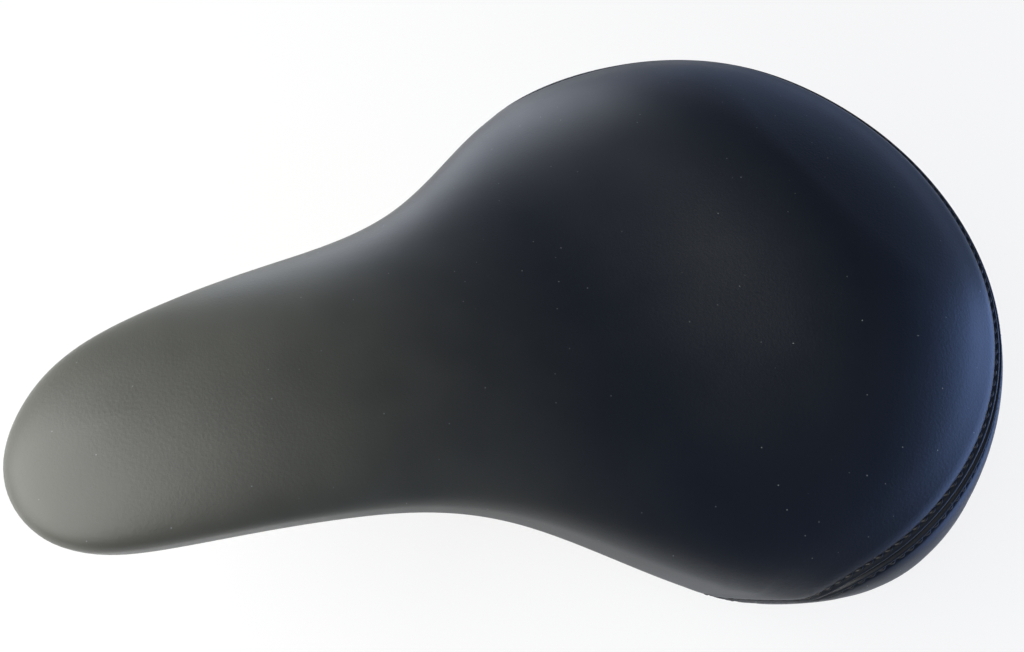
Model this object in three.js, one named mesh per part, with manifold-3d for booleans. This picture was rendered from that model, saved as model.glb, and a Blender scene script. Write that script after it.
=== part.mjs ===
// A bicycle saddle: a sewn cover over a moulded foam pad, stapled round a ribbed plastic base
// that hangs on two bent steel rails.
// Millimetres and radians. +X runs to the nose, +Y to the rider's left and +Z up.
// The rails rest at z = 0, and x = 0 is halfway along the saddle.
import * as THREE from "three";
import { mergeVertices } from "three/addons/utils/BufferGeometryUtils.js";
import Module from "manifold-3d";

const wasm = await Module();
wasm.setup();

const degree = Math.PI / 180;
const quarter_turn = Math.PI / 2;

// Overall sizes
const saddle_length = 270;
const saddle_width = 205;
const crown_height = 65; // rest surface to the crown's reference line
const tail_rise = 25; // how far the crown sweeps up towards the tail
const flank_drop = 26; // crown to the widest line
const skirt_depth = 20; // widest line to the bottom edge
const nose_spine_inset = 31; // nose tip to the point its ribs fan out from
const tail_spine_inset = 45; // tail to the point its ribs fan out from
const dome_power = 2.1; // 2 is an ellipse, more is fuller at the shoulders

// Layers, from the outside in
const cover_thickness = 1.2;
const seat_gap = 0.3; // between faces that touch on the real saddle
const foam_depth = 20;
const base_wall = 3;
const edge_radius = 5; // round bottom edge of the cover
const skirt_lean = 8 * degree; // how far the skirt leans in where it meets that edge
const hem_width = 11; // cover turned under the base's flange
const flange_width = 13;

// The rear band's seam
const band_length = 121; // how far the band runs forward from the tail
const seam_gap = 0.4;
const seam_power = 0.79; // how fast the seam climbs from the hem
const seam_tail_share = 0.65; // where on its rib's dome the seam crosses the tail
const band_tip_share = 0.022; // part of the band's run left off at its thin tips
const cover_tip_share = 0.02; // and where the cover stops short of them

// Shares along the saddle, from nose to tail, each of the size it is named for
const width_shares = [0.543, 0.594, 0.45, 0.408, 0.463, 0.925, 1.19, 1.226, 1.237, 1.186];
const crown_shares = [0.38, 0.39, 0.14, -0.1, 0.32, 1.17];
const flank_shares = [0.35, 0.21, 0.65, 1.105, 1.13, 0.375];
const skirt_shares = [0.35, 0.545, 1.107, 1.84];
const foam_shares = [0.5, 0.52, 0.65, 0.9, 1.15, 1.2];

// Rails
const rail_diameter = 7;
const rail_spacing = 44; // between the rails' centres in the clamping zone
const clamp_front = 28;
const clamp_rear = -44;
const rail_sides = 12;
const bend_reach = 7; // how far each side of a corner the bend starts
const bend_steps = 6;
const nose_socket_height = 44;
const nose_socket_inset = 31; // nose tip to the rail's end
const nose_socket_length = 24;
const nose_rail_spacing = 15;
const tail_socket_height = 35.5;
const tail_socket_inset = 32; // tail to the rail's end
const tail_socket_length = 20;
const tail_socket_rim_inset = 43.5; // outline to the rail's end, across the saddle
const tail_socket_splay = 7; // how far the rail spreads along its socket

// Rail holders: a boss of the base above each rail end, and a cap screwed up against it
const cap_depth = 8;
const holder_corner = 3;
const cap_bevel = 0.8;
const end_wall = 3;
const nose_holder_length = 22;
const nose_holder_width = 25;
const tail_holder_length = 17;
const tail_holder_width = 24;
const nose_screw_inset = 5.5; // from each end of the nose cap
const tail_screw_spacing = 15.6; // across the rail

// Screws
const screw_radius = 2.1;
const screw_length = 16;
const screw_tip = 2;
const screw_head_radius = 4;
const screw_head_height = 2.6;
const screw_head_rim = 1.2;
const screw_sides = 16;

// Staples
const staple_count_per_side = 12;
const staple_width = 9;
const staple_wire = 0.7;
const staple_band = 1.2;
const staple_leg = 3.9;
const staple_gap = 0.5; // under the crown, which is straight where the hem is not

// Base details
const rib_height = 6;
const rib_thickness = 2;
const long_rib_place = 13; // from the centre line
const cross_rib_count = 5;
const cross_rib_spacing = 26;
const first_cross_rib = -62;
const long_rib_front = 74;
const long_rib_rear = -78;
const slot_width = 14;
const slot_front = 36;
const slot_rear = -30;
const vent_width = 7;
const vent_length = 20;
// Each vent's place as shares of the saddle's length and width
const vent_place_shares = [
  [-0.281, 0.224],
  [-0.181, 0.263],
  [-0.085, 0.234],
];
const vent_headings = [30 * degree, 6 * degree, -28 * degree];
const overrun = 5; // how far a cutter runs past what it cuts

// How finely the forms are divided
const front_rib_count = 10;
const rear_rib_count = 11;
const staple_sample_count = 200;
const dome_shares = [0, 0.27, 0.5, 0.7, 0.87, 1];
const edge_shares = [2, 2.5, 3];
const edge_end_share = 3;
const hem_end_share = 4;
const corner_steps = 4;
const bevel_steps = 1;
const zone_steps = 8;
const zone_outside = 5; // how far a cutting zone stands off the cover's two faces
const zone_inside = 2;
const zone_end_share = 4.5;

// Colours and finishes
const finishes = {
  cover: { color: 0x1d2225, roughness: 0.62, metalness: 0 },
  foam: { color: 0x4a4a46, roughness: 0.95, metalness: 0 },
  plastic: { color: 0x18191b, roughness: 0.5, metalness: 0 },
  steel: { color: 0x9b9da0, roughness: 0.3, metalness: 1 },
  zinc: { color: 0x8d8f92, roughness: 0.4, metalness: 1 },
};

const half_length = saddle_length / 2;
const nose_socket_end = half_length - nose_socket_inset;
const nose_socket_start = nose_socket_end - nose_socket_length;
const tail_socket_end_x = tail_socket_inset - half_length;
const tail_socket_start_x = tail_socket_end_x + tail_socket_length;
const tail_socket_end_y = outline_at(tail_socket_end_x) - tail_socket_rim_inset;
const tail_socket_start_y = tail_socket_end_y - tail_socket_splay;
const spine_front = half_length - nose_spine_inset;
const spine_rear = tail_spine_inset - half_length;
const seam_front = band_length - half_length;

// A smooth run through evenly spaced shares, as an even cubic B-spline.
// A level run has no slope at its ends.
function along(shares, place, level) {
  const last = shares.length - 1;
  const first_outside = level ? shares[1] : 2 * shares[0] - shares[1];
  const last_outside = level ? shares[last - 1] : 2 * shares[last] - shares[last - 1];
  const run = [first_outside, ...shares, last_outside];
  const s = THREE.MathUtils.clamp(place, 0, 1) * last;
  const i = Math.min(Math.floor(s), last - 1);
  const u = s - i;
  const weights = [(1 - u) ** 3, 3 * u ** 3 - 6 * u ** 2 + 4, -3 * u ** 3 + 3 * u ** 2 + 3 * u + 1, u ** 3];
  return weights.reduce((sum, weight, k) => sum + (weight * run[i + k]) / 6, 0);
}

// Half the saddle's width at a place along it.
function outline_at(x) {
  const angle = Math.acos(x / half_length);
  return (saddle_width / 2) * along(width_shares, angle / Math.PI, true) * Math.sin(angle);
}

// One rib: from its point on the spine out to the saddle's outline, with its heights.
// Turn runs 0 to 1, nose to tail.
function rib_at(turn) {
  const angle = Math.PI * turn;
  const x = half_length * Math.cos(angle);
  const y = outline_at(x);
  const back = (half_length - x) / saddle_length;
  const spine = THREE.MathUtils.lerp(spine_front, spine_rear, back);
  const radius = Math.hypot(x - spine, y);
  const widest = crown_at(spine) - flank_drop * along(flank_shares, back, false);
  const edge = widest - skirt_depth * along(skirt_shares, back, false);
  return { x, spine, radius, heading: [(x - spine) / radius, y / radius], widest, edge };
}

// The crown line's height and the foam's depth under it, at a place along the saddle.
const spine_share = (x) => (spine_front - x) / (spine_front - spine_rear);
const crown_at = (x) => crown_height + tail_rise * along(crown_shares, spine_share(x), true);
const foam_at = (x) => foam_depth * along(foam_shares, spine_share(x), true);

// The outer skin's section on a rib, as [distance from the spine, height].
// Reach runs 0 to 1 over the dome, to 2 down the skirt, to 3 round the bottom edge and to 4 along the hem.
function skin(rib, reach) {
  if (reach <= 1) return dome(rib, rib.radius, rib.widest, crown_at, reach);
  const low = rib.edge + edge_radius * (1 - Math.sin(skirt_lean));
  const lean = ((rib.widest - low) / 2) * Math.tan(skirt_lean);
  const down = reach - 1;
  if (reach <= 2) return [rib.radius - lean * down ** 2, THREE.MathUtils.lerp(rib.widest, low, down)];
  const centre = [rib.radius - lean - edge_radius * Math.cos(skirt_lean), rib.edge + edge_radius];
  if (reach > 3) return [centre[0] - hem_width * (reach - 3), rib.edge];
  const turned = THREE.MathUtils.lerp(skirt_lean, quarter_turn, reach - 2);
  return [centre[0] + edge_radius * Math.cos(turned), centre[1] - edge_radius * Math.sin(turned)];
}

// A dome over a rib, from its rim up to a crown line whose height depends on the place along the saddle.
// Near the spine that place is the point's own, so the crown has no crease.
function dome(rib, radius, low, crown_line, reach) {
  const power = 2 / dome_power;
  const angle = quarter_turn * reach;
  const out = radius * Math.sin(angle) ** power;
  const up = Math.max(Math.cos(angle), 0) ** power;
  const x = rib.spine + rib.heading[0] * out * (1 - (out / radius) ** 2);
  return [out, THREE.MathUtils.lerp(low, crown_line(x), up)];
}

// The same section, sunk square to the skin by a depth.
function under_skin(rib, reach, depth) {
  const point = skin(rib, reach);
  if (reach === 0) return [0, point[1] - depth];
  const step = 1e-3;
  const before = skin(rib, reach - step);
  const after = skin(rib, reach + step);
  const run = [after[0] - before[0], after[1] - before[1]];
  const length = Math.hypot(...run);
  return [point[0] + (depth * run[1]) / length, point[1] - (depth * run[0]) / length];
}

// The base: a shallow dome inside the foam, with a flat flange round it.
function base_heights(rib) {
  const flange_low = rib.edge + cover_thickness + seat_gap;
  const flange_top = flange_low + base_wall;
  const flange_out = skin(rib, 3)[0] - seat_gap;
  return { flange_low, flange_top, flange_out, dome_out: flange_out - flange_width };
}

const base_crown = (x) => crown_at(x) - cover_thickness - 2 * seat_gap - foam_at(x);

// The base's dome on a rib, moved out and up by the same step.
function base_dome(rib, step) {
  const { dome_out, flange_top } = base_heights(rib);
  const crown_line = (x) => base_crown(x) + step;
  return dome_shares.map((reach) => dome(rib, dome_out + step, flange_top + step, crown_line, reach));
}

// A point of a section, set out from the spine. Side is 1 on the left and -1 on the right.
function place(rib, [out, height], side) {
  return new THREE.Vector3(rib.spine + rib.heading[0] * out, side * rib.heading[1] * out, height);
}

const seam_turn = Math.acos(seam_front / half_length) / Math.PI;
const turns = [
  ...Array.from({ length: front_rib_count }, (_, i) => (seam_turn * i) / front_rib_count),
  ...Array.from({ length: rear_rib_count + 1 }, (_, i) => seam_turn + ((1 - seam_turn) * i) / rear_rib_count),
];
const left_ribs = turns.map(rib_at);
// Once round the saddle: down the left side from the nose and back up the right.
const all_round = [
  ...left_ribs.map((rib) => ({ rib, side: 1 })),
  ...left_ribs.slice(1, -1).reverse().map((rib) => ({ rib, side: -1 })),
];

// How far along its rib the seam lies. Ahead of the band it is the hem's own end.
function seam_reach(rib) {
  const share = THREE.MathUtils.clamp((seam_front - rib.x) / band_length, 0, 1);
  return hem_end_share - (hem_end_share - seam_tail_share) * (1 - (1 - share) ** (1 + seam_power));
}

// Reach is a share of a rib, so a length along the skin there is turned into it.
function reach_step(rib, reach, length) {
  const step = 1e-2;
  const a = skin(rib, Math.max(reach - step, 0));
  const b = skin(rib, Math.min(reach + step, hem_end_share));
  const span = Math.min(reach + step, hem_end_share) - Math.max(reach - step, 0);
  return (length * span) / Math.hypot(b[0] - a[0], b[1] - a[1]);
}

// Joins sections into one closed solid. Each section has outer points and as many inner ones.
// Round: the last section meets the first. Spined: the two sides share their spine points.
function loft(sections, { round, spined }) {
  const loops = sections.map(({ outer, inner }) => [...outer, ...inner.slice().reverse()]);
  const size = loops[0].length;
  const half = size / 2;
  const corners = loops.flat().flatMap((p) => [p.x, p.y, p.z]);
  const faces = [];
  const joins = round ? loops.length : loops.length - 1;
  for (let i = 0; i < joins; i++) {
    const here = i * size;
    const next = ((i + 1) % loops.length) * size;
    // Faces are split alike on both sides and in every layer, so layers stay parallel.
    const left = sections[i].side > 0 && sections[next / size].side > 0;
    for (let j = 0; j < (spined ? size - 1 : size); j++) {
      const k = (j + 1) % size;
      if (j < half === left) faces.push(here + j, here + k, next + k, here + j, next + k, next + j);
      else faces.push(here + j, here + k, next + j, here + k, next + k, next + j);
    }
  }
  if (!round) {
    const last = (loops.length - 1) * size;
    for (let j = 0; j < half - 1; j++) {
      const [a, b, c, d] = [j, j + 1, size - 2 - j, size - 1 - j];
      faces.push(b, a, d, b, d, c);
      faces.push(last + a, last + b, last + d, last + b, last + c, last + d);
    }
  }
  const shape = new THREE.BufferGeometry();
  shape.setAttribute("position", new THREE.Float32BufferAttribute(corners, 3));
  shape.setIndex(faces);
  return shape;
}

function to_solid(shape) {
  const bare = shape.index ? shape.toNonIndexed() : shape.clone();
  bare.deleteAttribute("normal");
  bare.deleteAttribute("uv");
  const merged = mergeVertices(bare);
  const triVerts = new Uint32Array(merged.index.array);
  const vertProperties = merged.attributes.position.array;
  return new wasm.Manifold(new wasm.Mesh({ numProp: 3, vertProperties, triVerts }));
}

function to_shape(solid) {
  const { vertProperties, triVerts } = solid.getMesh();
  const shape = new THREE.BufferGeometry();
  shape.setAttribute("position", new THREE.BufferAttribute(vertProperties, 3));
  shape.setIndex(new THREE.BufferAttribute(triVerts, 1));
  return shape;
}

const cut = (solid, cutters) => cutters.reduce((rest, cutter) => rest.subtract(cutter), solid);
const join = (solids) => solids.reduce((sum, solid) => sum.add(solid));

const saddle = new THREE.Group();

function add(name, shape, finish) {
  const flat = shape.index ? shape.toNonIndexed() : shape;
  flat.computeVertexNormals();
  const mesh = new THREE.Mesh(flat, new THREE.MeshStandardMaterial(finishes[finish]));
  mesh.name = name;
  saddle.add(mesh);
}

// An upright prism with round corners, its long side along X.
// It is turned about Z and set with its foot at a point.
function block(length, width, height, corner, foot, heading, bevel = 0) {
  const [x, y] = [length / 2 - bevel, width / 2 - bevel];
  const outline = new THREE.Shape();
  outline.moveTo(-x + corner, -y);
  outline.lineTo(x - corner, -y).quadraticCurveTo(x, -y, x, -y + corner);
  outline.lineTo(x, y - corner).quadraticCurveTo(x, y, x - corner, y);
  outline.lineTo(-x + corner, y).quadraticCurveTo(-x, y, -x, y - corner);
  outline.lineTo(-x, -y + corner).quadraticCurveTo(-x, -y, -x + corner, -y);
  const shape = new THREE.ExtrudeGeometry(outline, {
    depth: height - 2 * bevel,
    curveSegments: corner_steps,
    bevelEnabled: bevel > 0,
    bevelSize: bevel,
    bevelThickness: bevel,
    bevelSegments: bevel_steps,
  });
  shape.translate(0, 0, bevel);
  return shape.rotateZ(heading).translate(...foot);
}

// A round cutter from one point to another.
function drill(radius, from, to) {
  const run = new THREE.Vector3().subVectors(to, from);
  const shape = new THREE.CylinderGeometry(radius, radius, run.length(), screw_sides);
  const turn = new THREE.Quaternion().setFromUnitVectors(new THREE.Vector3(0, 1, 0), run.clone().normalize());
  const middle = new THREE.Vector3().addVectors(from, to).divideScalar(2);
  return to_solid(shape.applyQuaternion(turn).translate(...middle));
}

// Cover panels

function whole_cover() {
  const reaches = [...dome_shares, ...edge_shares, hem_end_share];
  const sections = all_round.map(({ rib, side }) => ({
    side,
    outer: reaches.map((reach) => place(rib, skin(rib, reach), side)),
    inner: reaches.map((reach) => place(rib, under_skin(rib, reach, cover_thickness), side)),
  }));
  return to_solid(loft(sections, { round: true, spined: true }));
}

// The strip from the seam to past the hem's end, round the tail from one tip to the other.
function band_zone(seam_offset, tip_share) {
  const first = seam_turn + (1 - seam_turn) * tip_share;
  const ribs = [rib_at(first), ...left_ribs.slice(front_rib_count + 1)];
  const both = [
    ...ribs.map((rib) => ({ rib, side: 1 })),
    ...ribs.slice(0, -1).reverse().map((rib) => ({ rib, side: -1 })),
  ];
  const sections = both.map(({ rib, side }) => {
    const seam = seam_reach(rib);
    const start = seam + reach_step(rib, seam, seam_offset);
    const run = zone_end_share - start;
    const reaches = Array.from({ length: zone_steps + 1 }, (_, i) => start + (run * i) / zone_steps);
    return {
      side,
      outer: reaches.map((reach) => place(rib, under_skin(rib, reach, -zone_outside), side)),
      inner: reaches.map((reach) => place(rib, under_skin(rib, reach, cover_thickness + zone_inside), side)),
    };
  });
  return to_solid(loft(sections, { round: false, spined: false }));
}

// Foam pad: crowned under the cover, hollow over the base, with a roll round the flange's edge.
function foam_sections() {
  const reaches = [...dome_shares, ...edge_shares];
  return all_round.map(({ rib, side }) => {
    const base = base_heights(rib);
    const floor = base.flange_top + seat_gap;
    const under = base_dome(rib, seat_gap);
    const rim = skin(rib, 3)[0];
    const ledge = edge_shares.map((_, i) => {
      const share = (i + 1) / edge_shares.length;
      return [THREE.MathUtils.lerp(base.dome_out + seat_gap, rim, share), floor];
    });
    return {
      side,
      outer: reaches.map((reach) => place(rib, under_skin(rib, reach, cover_thickness + seat_gap), side)),
      inner: [...under, ...ledge].map((point) => place(rib, point, side)),
    };
  });
}

// Base

function base_sections() {
  return all_round.map(({ rib, side }) => {
    const base = base_heights(rib);
    const upper = [...base_dome(rib, 0), [base.flange_out, base.flange_top]];
    const lower = [...base_dome(rib, -base_wall), [base.flange_out, base.flange_low]];
    return {
      side,
      outer: upper.map((point) => place(rib, point, side)),
      inner: lower.map((point) => place(rib, point, side)),
    };
  });
}

// The space below the base's dome, sunk by a depth. It runs down to the flange's underside,
// or on to the rest surface, and it can take in what lies under the flange.
function space_under_base(depth, { deep = false, wide = false } = {}) {
  const sections = all_round.map(({ rib, side }) => {
    const base = base_heights(rib);
    const roof = base_dome(rib, -depth);
    if (wide) roof.push([base.flange_out - depth, base.flange_top - depth]);
    const floor = deep ? 0 : base.flange_low;
    return {
      side,
      outer: roof.map((point) => place(rib, point, side)),
      inner: roof.map((point) => place(rib, [point[0], floor], side)),
    };
  });
  return to_solid(loft(sections, { round: true, spined: true }));
}

const holders = [
  {
    name: "nose",
    axes: [1, -1].map((side) => [
      new THREE.Vector3(nose_socket_start, (side * nose_rail_spacing) / 2, nose_socket_height),
      new THREE.Vector3(nose_socket_end, (side * nose_rail_spacing) / 2, nose_socket_height),
    ]),
    middle: [nose_socket_end + end_wall - nose_holder_length / 2, 0, nose_socket_height],
    heading: 0,
    size: [nose_holder_length, nose_holder_width],
    screws: [1, -1].map((side) => [side * (nose_holder_length / 2 - nose_screw_inset), 0]),
  },
  ...[1, -1].map((side) => {
    const start = new THREE.Vector3(tail_socket_start_x, side * tail_socket_start_y, tail_socket_height);
    const end = new THREE.Vector3(tail_socket_end_x, side * tail_socket_end_y, tail_socket_height);
    const run = new THREE.Vector3().subVectors(end, start).normalize();
    const middle = end.clone().addScaledVector(run, end_wall - tail_holder_length / 2);
    return {
      name: side > 0 ? "tail_left" : "tail_right",
      axes: [[start, end]],
      middle: middle.toArray(),
      heading: Math.atan2(run.y, run.x),
      size: [tail_holder_length, tail_holder_width],
      screws: [1, -1].map((across) => [0, (across * tail_screw_spacing) / 2]),
    };
  }),
];

// A holder's own place, turned and moved to the saddle.
function in_holder(holder, [x, y], height) {
  return new THREE.Vector3(x, y, 0)
    .applyAxisAngle(new THREE.Vector3(0, 0, 1), holder.heading)
    .add(new THREE.Vector3(holder.middle[0], holder.middle[1], height));
}

// The grooves that a holder's rails lie in, blind at the rail's end.
function grooves(holder) {
  return holder.axes.map(([start, end]) => {
    const run = new THREE.Vector3().subVectors(end, start).normalize();
    const from = start.clone().addScaledVector(run, -overrun);
    return drill(rail_diameter / 2 + seat_gap, from, end.clone().addScaledVector(run, seat_gap));
  });
}

function boss(holder) {
  const foot = [holder.middle[0], holder.middle[1], holder.middle[2] + seat_gap / 2];
  return to_solid(block(...holder.size, crown_height, holder_corner, foot, holder.heading));
}

const cap_foot = (holder) => holder.middle[2] - seat_gap / 2 - cap_depth;

function screw_bores(holder) {
  const low = cap_foot(holder) - overrun;
  const high = cap_foot(holder) - seat_gap + screw_length + screw_tip;
  return holder.screws.map((spot) =>
    drill(screw_radius + seat_gap, in_holder(holder, spot, low), in_holder(holder, spot, high)),
  );
}

function base_ribs() {
  const tall = crown_height + tail_rise;
  const long_ribs = [1, -1].map((side) => {
    const middle = [(long_rib_front + long_rib_rear) / 2, side * long_rib_place, 0];
    return new THREE.BoxGeometry(long_rib_front - long_rib_rear, rib_thickness, tall).translate(...middle);
  });
  const across = Array.from({ length: cross_rib_count }, (_, i) => {
    const x = first_cross_rib + i * cross_rib_spacing;
    return new THREE.BoxGeometry(rib_thickness, saddle_width, tall).translate(x, 0, 0);
  });
  const plates = join([...long_ribs, ...across].map((shape) => to_solid(shape.translate(0, 0, tall / 2))));
  const inside = space_under_base(base_wall / 2);
  return plates.intersect(inside).subtract(space_under_base(base_wall + rib_height, { deep: true }));
}

function slots() {
  const tall = crown_height + tail_rise;
  const centre = [(slot_front + slot_rear) / 2, 0, 0];
  const long_slot = block(slot_front - slot_rear, slot_width, tall, slot_width / 2, centre, 0);
  const vents = [1, -1].flatMap((side) =>
    vent_place_shares.map(([along_share, aside_share], i) => {
      const foot = [along_share * saddle_length, side * aside_share * saddle_width, 0];
      return block(vent_length, vent_width, tall, vent_width / 2, foot, side * vent_headings[i]);
    }),
  );
  return [long_slot, ...vents].map(to_solid);
}

// Staples: driven up through the hem into the flange, evenly spaced along it.

const staple_frames = (() => {
  const hem_middle = (turn) => {
    const rib = rib_at(turn);
    return { rib, point: place(rib, skin(rib, (edge_end_share + hem_end_share) / 2), 1) };
  };
  const places = Array.from({ length: staple_sample_count + 1 }, (_, i) => i / staple_sample_count);
  const samples = places.map(hem_middle);
  const lengths = samples.map(() => 0);
  for (let i = 1; i < samples.length; i++)
    lengths[i] = lengths[i - 1] + samples[i].point.distanceTo(samples[i - 1].point);
  const whole = lengths[staple_sample_count];
  const frames = [];
  for (let n = 0; n < staple_count_per_side; n++) {
    const want = (whole * (n + 1 / 2)) / staple_count_per_side;
    const i = lengths.findIndex((length) => length >= want);
    const before = samples[i - 1];
    const after = samples[i];
    const share = (want - lengths[i - 1]) / (lengths[i] - lengths[i - 1]);
    const along_hem = new THREE.Vector3().subVectors(after.point, before.point).normalize();
    const outward = new THREE.Vector3(after.rib.heading[0], after.rib.heading[1], 0);
    const up = new THREE.Vector3().crossVectors(outward, along_hem).normalize();
    const across = new THREE.Vector3().crossVectors(up, along_hem);
    const spot = before.point.clone().lerp(after.point, share);
    frames.push(new THREE.Matrix4().makeBasis(along_hem, across, up).setPosition(spot));
  }
  return frames;
})();
const mirror_y = new THREE.Matrix4().makeScale(1, -1, 1);

function staple_shape() {
  const half = staple_width / 2;
  const outline = new THREE.Shape(
    [
      [-half, 0],
      [half, 0],
      [half, staple_leg],
      [half - staple_wire, staple_leg],
      [half - staple_wire, staple_wire],
      [-half + staple_wire, staple_wire],
      [-half + staple_wire, staple_leg],
      [-half, staple_leg],
    ].map(([x, y]) => new THREE.Vector2(x, y)),
  );
  const shape = new THREE.ExtrudeGeometry(outline, { depth: staple_band, bevelEnabled: false });
  return shape.rotateX(quarter_turn).translate(0, staple_band / 2, -staple_wire - staple_gap);
}

function staple_holes(frame) {
  const tall = staple_leg + overrun;
  const room = 2 * seat_gap;
  const top = staple_leg - staple_wire - staple_gap + seat_gap;
  return [1, -1].map((end) =>
    new THREE.BoxGeometry(staple_wire + room, staple_band + room, tall)
      .translate((end * (staple_width - staple_wire)) / 2, 0, top - tall / 2)
      .applyMatrix4(frame),
  );
}

// A mirrored copy keeps its faces pointing out.
function mirrored(shape) {
  const copy = (shape.index ? shape.toNonIndexed() : shape.clone()).applyMatrix4(mirror_y);
  const spots = copy.attributes.position;
  for (let i = 0; i < spots.count; i += 3) {
    const second = new THREE.Vector3().fromBufferAttribute(spots, i + 1);
    const third = new THREE.Vector3().fromBufferAttribute(spots, i + 2);
    spots.setXYZ(i + 1, ...third);
    spots.setXYZ(i + 2, ...second);
  }
  return copy;
}

const left_holes = staple_frames.flatMap(staple_holes);
const leg_holes = [...left_holes, ...left_holes.map(mirrored)].map(to_solid);

const cover = cut(whole_cover(), leg_holes);
add("top_cover", to_shape(cover.subtract(band_zone(-seam_gap / 2, cover_tip_share))), "cover");
add("rear_band", to_shape(cover.intersect(band_zone(seam_gap / 2, band_tip_share))), "cover");
add("foam_pad", loft(foam_sections(), { round: true, spined: true }), "foam");

const shell = to_solid(loft(base_sections(), { round: true, spined: true }));
const bosses = join(holders.map(boss)).intersect(space_under_base(base_wall / 2, { deep: true, wide: true }));
const ribbed = join([cut(join([shell, base_ribs()]), slots()), bosses]);
const base_cutters = [...holders.flatMap(grooves), ...holders.flatMap(screw_bores), ...leg_holes];
add("base_shell", to_shape(cut(ribbed, base_cutters)), "plastic");

// Rails

// Straight runs joined by a smooth bend at each corner.
function bent_path(corners) {
  const points = [corners[0]];
  for (let i = 1; i < corners.length - 1; i++) {
    const back = corners[i - 1].clone().sub(corners[i]).setLength(bend_reach).add(corners[i]);
    const on = corners[i + 1].clone().sub(corners[i]).setLength(bend_reach).add(corners[i]);
    points.push(...new THREE.QuadraticBezierCurve3(back, corners[i], on).getPoints(bend_steps));
  }
  points.push(corners[corners.length - 1]);
  return points;
}

// A bar along a path, with one flat of its faceted section always facing down.
function bar(points, radius) {
  const loops = points.map((point, i) => {
    const before = points[Math.max(i - 1, 0)];
    const after = points[Math.min(i + 1, points.length - 1)];
    const ahead = new THREE.Vector3().subVectors(after, before).normalize();
    const aside = new THREE.Vector3(0, 0, 1).cross(ahead).normalize();
    const above = new THREE.Vector3().crossVectors(ahead, aside);
    return Array.from({ length: rail_sides }, (_, k) => {
      const angle = (2 * Math.PI * (k + 1 / 2)) / rail_sides;
      return point
        .clone()
        .addScaledVector(aside, radius * Math.sin(angle))
        .addScaledVector(above, -radius * Math.cos(angle));
    });
  });
  const half = rail_sides / 2;
  const halves = (loop) => ({ side: 1, outer: loop.slice(0, half), inner: loop.slice(half).reverse() });
  return loft(loops.map(halves), { round: false, spined: false });
}

// The bar's flats lie on the rail's own diameter.
const flat_radius = rail_diameter / 2 / Math.cos(Math.PI / rail_sides);

function rail_shape() {
  const y = rail_spacing / 2;
  const z = rail_diameter / 2;
  return bar(
    bent_path([
      new THREE.Vector3(tail_socket_end_x, tail_socket_end_y, tail_socket_height),
      new THREE.Vector3(tail_socket_start_x, tail_socket_start_y, tail_socket_height),
      new THREE.Vector3(clamp_rear - bend_reach, y, z),
      new THREE.Vector3(clamp_front + bend_reach, y, z),
      new THREE.Vector3(nose_socket_start, nose_rail_spacing / 2, nose_socket_height),
      new THREE.Vector3(nose_socket_end, nose_rail_spacing / 2, nose_socket_height),
    ]),
    flat_radius,
  );
}

add("rail_left", rail_shape(), "steel");
add("rail_right", mirrored(rail_shape()), "steel");

// Holder caps and their screws

function screw_shape() {
  const profile = [
    [0, -screw_head_height],
    [screw_head_radius / 2, -screw_head_height],
    [screw_head_radius, -screw_head_rim],
    [screw_head_radius, 0],
    [screw_radius, 0],
    [screw_radius, screw_length - screw_tip],
    [0, screw_length],
  ].map(([x, y]) => new THREE.Vector2(x, y));
  return new THREE.LatheGeometry(profile, screw_sides).rotateX(quarter_turn);
}

for (const holder of holders) {
  const foot = [holder.middle[0], holder.middle[1], cap_foot(holder)];
  const cap = to_solid(block(...holder.size, cap_depth, holder_corner, foot, holder.heading, cap_bevel));
  add(`${holder.name}_rail_cap`, to_shape(cut(cap, [...grooves(holder), ...screw_bores(holder)])), "plastic");
  holder.screws.forEach((spot, i) => {
    const seat = in_holder(holder, spot, cap_foot(holder) - seat_gap);
    add(`${holder.name}_cap_screw_${i + 1}`, screw_shape().translate(...seat), "zinc");
  });
}

staple_frames.forEach((frame, i) => {
  const shape = staple_shape().applyMatrix4(frame);
  add(`staple_left_${i + 1}`, shape, "zinc");
  add(`staple_right_${i + 1}`, mirrored(shape), "zinc");
});

export default saddle;
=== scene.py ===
# %% [markdown]
# # A bicycle saddle
# The real saddle is a foam pad on a plastic base, with a sewn cover pulled over both. The cover
# is two panels: a large top, and a band round the tail that meets it in a double-stitched seam.
# Under the base hang two bent steel rails for the seat post's clamp.
# The CAD frame gives every place. What the eye sees is built here, in metres, in the same frame.

# %% Load the frame
import math

import bmesh
import bpy
import numpy as np
from mathutils import Euler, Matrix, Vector


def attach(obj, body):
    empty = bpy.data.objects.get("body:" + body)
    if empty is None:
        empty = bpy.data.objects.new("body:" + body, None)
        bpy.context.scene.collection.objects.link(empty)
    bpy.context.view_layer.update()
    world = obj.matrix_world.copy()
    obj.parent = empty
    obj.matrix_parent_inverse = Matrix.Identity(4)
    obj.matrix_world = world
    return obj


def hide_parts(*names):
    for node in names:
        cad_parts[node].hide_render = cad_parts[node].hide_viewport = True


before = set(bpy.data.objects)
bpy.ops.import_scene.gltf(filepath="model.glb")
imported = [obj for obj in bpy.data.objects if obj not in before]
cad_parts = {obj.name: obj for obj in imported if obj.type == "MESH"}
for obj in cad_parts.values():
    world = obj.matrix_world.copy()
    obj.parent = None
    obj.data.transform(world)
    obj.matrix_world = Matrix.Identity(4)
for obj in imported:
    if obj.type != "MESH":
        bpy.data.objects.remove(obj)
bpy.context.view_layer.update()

scene = bpy.context.scene
print("CAD nodes:", len(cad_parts))

# %% [markdown]
# Three small helpers serve the whole script. One puts an object into the scene, one mends a mesh,
# and one gives the faces of a tube from its rings of points.


# %% Shared helpers
def shown(name, data):
    piece = bpy.data.objects.new(name, data)
    scene.collection.objects.link(piece)
    return piece


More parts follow.
